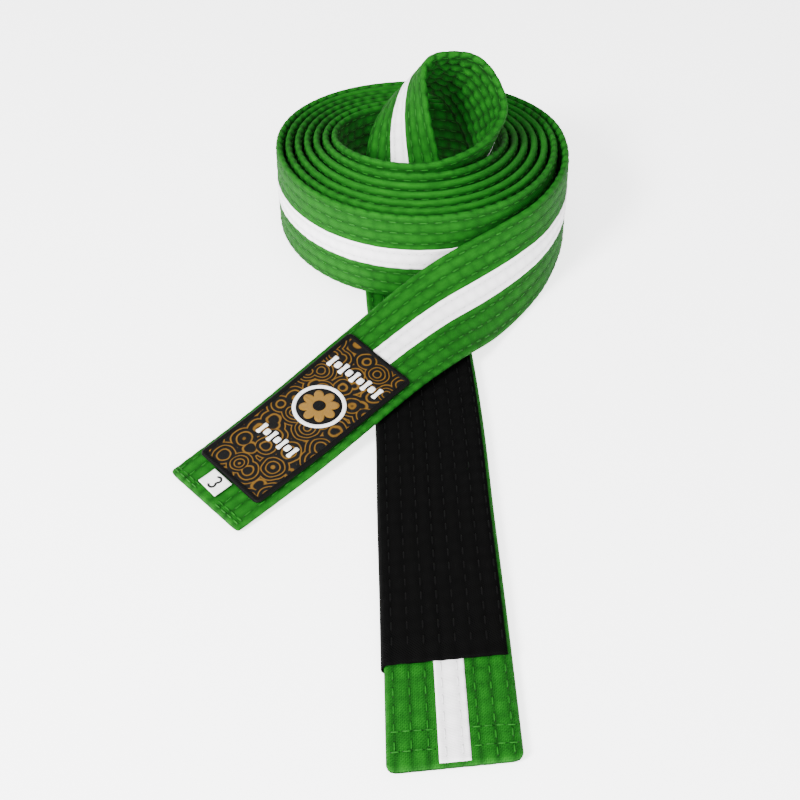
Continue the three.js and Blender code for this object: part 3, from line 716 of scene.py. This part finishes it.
def makePatch():
    inset = patch["border"] * 0.6
    s = np.linspace(patch["from"] + inset, patch["from"] + patch["length"] - inset, 90)
    x = np.linspace(-patch["width"] / 2 + inset, patch["width"] / 2 - inset, 36)
    gridS, gridX = np.meshgrid(s, x, indexing="ij")
    low = patchHeight(gridX, gridS)
    ground = gridPlate("patchGround", [(gridS, gridX, low, low + patch["thick"])], groundMaterial(),
                       slot="patch_cloth", replaces=["patch_ground"])
    # the overlocked border: a low half-round rope along a rounded rectangle, ribbed by its thread
    r = patch["cornerRadius"]
    halfL = patch["length"] / 2 - patch["border"] / 2 - r
    halfW = patch["width"] / 2 - patch["border"] / 2 - r
    corners = [(halfL, halfW, 0), (-halfL, halfW, 90), (-halfL, -halfW, 180), (halfL, -halfW, 270)]
    ringPoints = 11
    line = []
    for cs, cx, start in corners:
        a = np.radians(np.linspace(start, start + 90, 7))
        line.append(np.stack([cs + r * np.cos(a), cx + r * np.sin(a)], -1))
    line = np.vstack(line)
    line = np.vstack([line, line[:1]])
    gone = np.r_[0, np.cumsum(np.linalg.norm(np.diff(line, axis=0), axis=1))]
    count = int(gone[-1] / 0.22)
    t = np.arange(count) / count * gone[-1]
    ps, px = np.interp(t, gone, line[:, 0]), np.interp(t, gone, line[:, 1])
    ds, dx = np.roll(ps, -1) - np.roll(ps, 1), np.roll(px, -1) - np.roll(px, 1)
    size = np.hypot(ds, dx)
    outS, outX = dx / size, -ds / size
    a = np.radians(np.linspace(-20, 200, ringPoints))
    ribs = np.cos(2 * np.pi * (t[:, None] + 0.35 * np.cos(a)[None, :]) / patch["rib"])
    wide = patch["border"] / 2 * (1 + 0.05 * ribs) * np.cos(a)[None, :]
    high = 0.35 + (0.72 * (1 + 0.1 * ribs)) * np.sin(a)[None, :]
    ringS = patchMiddle + ps[:, None] + outS[:, None] * wide
    ringX = px[:, None] + outX[:, None] * wide
    verts = strapPoint(ringS + ringX * route["patchTipSlant"], ringX, patch["base"] + high)
    # the last ring is the first one again, so the rope closes on itself
    faces = gridFaces(count + 1, ringPoints)[:, ::-1] % (count * ringPoints)
    border = clothMaterial("blackBorder", patch["black"], roughness=0.6, pattern="rib", pitch=0.05,
                           slant=0.4, bump=0.4, uneven=0.5, sheen=0.0, gloss=0.06)
    uv = gridUv(np.r_[t, gone[-1]], np.linspace(0, 3, ringPoints + 1))
    meshPiece("patchBorder", verts, faces.tolist(), border, uv, np.ones(count * ringPoints),
              slot="patch_border",
              replaces=["patch_border_left", "patch_border_right", "patch_border_foot", "patch_border_head"])
    return ground


patchGround = makePatch()

# The patch's raised embroidery: a plain round medallion with a petalled figure, and two rows of plain blocks
emblem = {"middle": 57.75, "radius": 10.5, "ring": 1.5, "base": 2.75, "petals": 8,
          "discHigh": 0.3, "figureHigh": 0.3, "heartHigh": 0.25, "ringHigh": 0.42, "blockHigh": 0.36,
          "titleAt": 77.75, "titleSize": (27, 5.8), "titleBlocks": 9,
          "footAt": 35.75, "footSize": (20, 5.4), "footBlocks": 7}


def discPlate(name, inner, outer, edge, low, high, material, **words):
    # Rings round the medallion's middle; edge gives each direction's radius as a share of outer
    a = np.linspace(0, 2 * np.pi, 97)
    r = np.linspace(inner, 1, 9)[:, None]
    radius = outer * np.maximum(r, 0.02) * edge(a)[None, :]
    s, x = emblem["middle"] + radius * np.sin(a)[None, :], radius * np.cos(a)[None, :]
    dome = high * (0.7 + 0.3 * np.sqrt(np.clip(1 - ((r - (inner + 1) / 2) / ((1 - inner) / 2)) ** 2, 0, 1)))
    return gridPlate(name, [(s, x, low, low + dome)], material, **words)


def blockBand(name, at, size, blocks, material, **words):
    # A row of upright blocks, each a rounded square stretched, tall ones and short ones by turns
    v, u = np.meshgrid(np.linspace(-1, 1, 11), np.linspace(-1, 1, 9), indexing="ij")
    most = np.maximum(np.abs(u), np.abs(v))
    squash = most / np.maximum((np.abs(u) ** 4 + np.abs(v) ** 4) ** 0.25, 1e-6)
    plates = []
    pitch = size[0] / blocks
    top = emblem["base"] + emblem["blockHigh"] * (1 - 0.6 * most ** 6)
    for i in range(blocks):
        tall = size[1] * (1.0 if i % 2 == 0 else 0.55)
        waist = 1 - 0.35 * (1 - v ** 2) * (i % 2 == 0)
        x = (i - (blocks - 1) / 2) * pitch + u * squash * waist * pitch * 0.4
        plates.append((at + v * squash * tall / 2, x, emblem["base"], top))
    return gridPlate(name, plates, material, **words)


def petalEdge(a):
    # Radius as a share: a power of the cosine of half the petal count times the angle, above a round middle
    return 0.55 + 0.33 * np.abs(np.cos(a * emblem["petals"] / 2)) ** 0.7


def makeEmblem():
    gold = clothMaterial("goldSatin", patch["gold"], roughness=0.45, pattern="rib", pitch=0.05, slant=0.2,
                         bump=0.7, uneven=0.25, sheen=0.05)
    white = clothMaterial("whiteSatin", patch["white"], roughness=0.5, pattern="rib", pitch=0.05, slant=0.0,
                          bump=0.7, uneven=0.08, sheen=0.05)
    dark = clothMaterial("darkSatin", patch["black"], roughness=0.5, pattern="rib", pitch=0.05, slant=0.6,
                         bump=0.6, uneven=0.3, sheen=0.0, gloss=0.06)
    base = emblem["base"]
    discRadius = emblem["radius"] - emblem["ring"] - 0.1
    discPlate("medallionDisc", 0.0, discRadius, np.ones_like, base, emblem["discHigh"], dark,
              slot="gold_thread", replaces=["patch_medallion"])
    discPlate("medallionFigure", 0.0, discRadius, petalEdge, base + 0.25, emblem["figureHigh"], gold,
              slot="gold_thread")
    discPlate("medallionHeart", 0.0, discRadius * 0.28, np.ones_like, base + 0.5, emblem["heartHigh"], dark,
              slot="patch_border")
    discPlate("medallionRing", 1 - emblem["ring"] / emblem["radius"], emblem["radius"], np.ones_like, base,
              emblem["ringHigh"], white, slot="patch_white", replaces=["patch_medallion_ring"])
    blockBand("titleBand", emblem["titleAt"], emblem["titleSize"], emblem["titleBlocks"], white,
              slot="patch_white", replaces=["patch_title_bar"])
    blockBand("footBand", emblem["footAt"], emblem["footSize"], emblem["footBlocks"], white,
              slot="patch_white", replaces=["patch_foot_bar"])


makeEmblem()
print("patch done")

# The size tag and its numeral are on their own body
tag = {"width": 10.2, "length": 7.8, "thick": 0.28, "across": 1.75, "seam": 11.15, "base": 2.28,
       "curl": 0.25, "wave": 0.08, "radius": 1.15, "stroke": 0.8, "numeralSize": 1.15,
       "color": (0.85, 0.84, 0.83), "ink": (0.01, 0.01, 0.01)}


def tagHeight(s, x):
    # The tag curls up by the square of its free share of the length, and waves slightly across
    free = (tag["seam"] - s) / tag["length"]
    wave = tag["wave"] * np.sin(3 * free) * np.cos((x - tag["across"]) * 0.5)
    return tag["base"] + tag["curl"] * free ** 2 + wave


def makeTag():
    s, x = np.meshgrid(tag["seam"] - np.linspace(1, 0, 14) * tag["length"],
                       tag["across"] + np.linspace(-0.5, 0.5, 16) * tag["width"], indexing="ij")
    low = tagHeight(s, x)
    label = clothMaterial("tagSatin", tag["color"], roughness=0.5, pattern="weave", pitch=0.03, bump=0.3,
                          uneven=0.1, sheen=0.1)
    gridPlate("sizeLabel", [(s, x, low, low + tag["thick"])], label, body="tag", slot="tag_cloth",
              replaces=["size_tag"])
    # the numeral is two bowls, each an arc round its own middle
    bowl = 22
    turn = np.radians(np.r_[np.linspace(150, -62, bowl), np.linspace(62, -150, bowl)])
    middle = np.r_[np.full(bowl, tag["radius"]), np.full(bowl, -tag["radius"])]
    edge = np.array([-0.5, 0.5])[:, None] * tag["stroke"]
    right = (tag["radius"] + edge) * np.cos(turn)[None, :]
    up = middle[None, :] + (tag["radius"] + edge) * np.sin(turn)[None, :]
    numeralS = tag["seam"] - tag["length"] / 2 + up * tag["numeralSize"]
    numeralX = tag["across"] - right * tag["numeralSize"]
    face = tagHeight(numeralS, numeralX) + tag["thick"]
    ink = clothMaterial("tagInk", tag["ink"], roughness=0.6, pattern="rib", pitch=0.03, bump=0.1,
                        uneven=0.1, sheen=0.0)
    gridPlate("sizeNumber", [(numeralS, numeralX, face - 0.05, face + 0.07)], ink,
              body="tag", slot="tag_print", replaces=["size_numeral"])


makeTag()
print("tag done")

# Floor, lights and camera
studio = {"floor": (0.95, 0.95, 0.96), "floorReach": 6.0, "glow": 2.2,
          "key": 52.0, "keyPlace": (-0.75, -0.7, 0.75), "keySize": 0.35,
          "fill": 26.0, "fillPlace": (0.15, -1.2, 0.5), "fillSize": 0.8,
          "lightAim": (0.0, 0.03, 0.03), "world": 1.35,
          "lens": 55.8, "sensor": 36, "cameraPlace": (0.00345, -0.38383, 0.31), "cameraTilt": 50}


def makeFloor():
    mesh = bpy.data.meshes.new("floor")
    far = studio["floorReach"]
    corners = [(-far, -far, 0), (far, -far, 0), (far, far, 0), (-far, far, 0)]
    mesh.from_pydata(corners, [], [(0, 1, 2, 3)])
    floor = bpy.data.objects.new("floor", mesh)
    bpy.context.scene.collection.objects.link(floor)
    material = bpy.data.materials.new("paleFloor")
    material.use_nodes = True
    shader = material.node_tree.nodes["Principled BSDF"]
    shader.inputs["Base Color"].default_value = (*studio["floor"], 1)
    shader.inputs["Roughness"].default_value = 0.8
    shader.inputs["Emission Color"].default_value = (1, 1, 1, 1)
    shader.inputs["Emission Strength"].default_value = studio["glow"]
    mesh.materials.append(material)


def makeLight(name, place, size, power):
    light = bpy.data.lights.new(name, "AREA")
    light.size = size
    light.energy = power
    lamp = bpy.data.objects.new(name, light)
    lamp.location = place
    aim = np.array(studio["lightAim"]) - np.array(place)
    tilt = math.atan2(math.hypot(aim[0], aim[1]), -aim[2])
    lamp.rotation_euler = (tilt, 0, math.atan2(aim[1], aim[0]) - math.pi / 2)
    bpy.context.scene.collection.objects.link(lamp)


makeFloor()
makeLight("keyLight", studio["keyPlace"], studio["keySize"], studio["key"])
makeLight("fillLight", studio["fillPlace"], studio["fillSize"], studio["fill"])
world = bpy.data.worlds.new("studio")
world.use_nodes = True
world.node_tree.nodes["Background"].inputs[0].default_value = (1, 1, 1, 1)
world.node_tree.nodes["Background"].inputs[1].default_value = studio["world"]
bpy.context.scene.world = world
print("floor and lights done")

camera = bpy.data.cameras.new("camera")
camera.lens = studio["lens"]
camera.sensor_width = studio["sensor"]
viewer = bpy.data.objects.new("camera", camera)
viewer.location = studio["cameraPlace"]
viewer.rotation_euler = (math.radians(studio["cameraTilt"]), 0, 0)
bpy.context.scene.collection.objects.link(viewer)
bpy.context.scene.camera = viewer
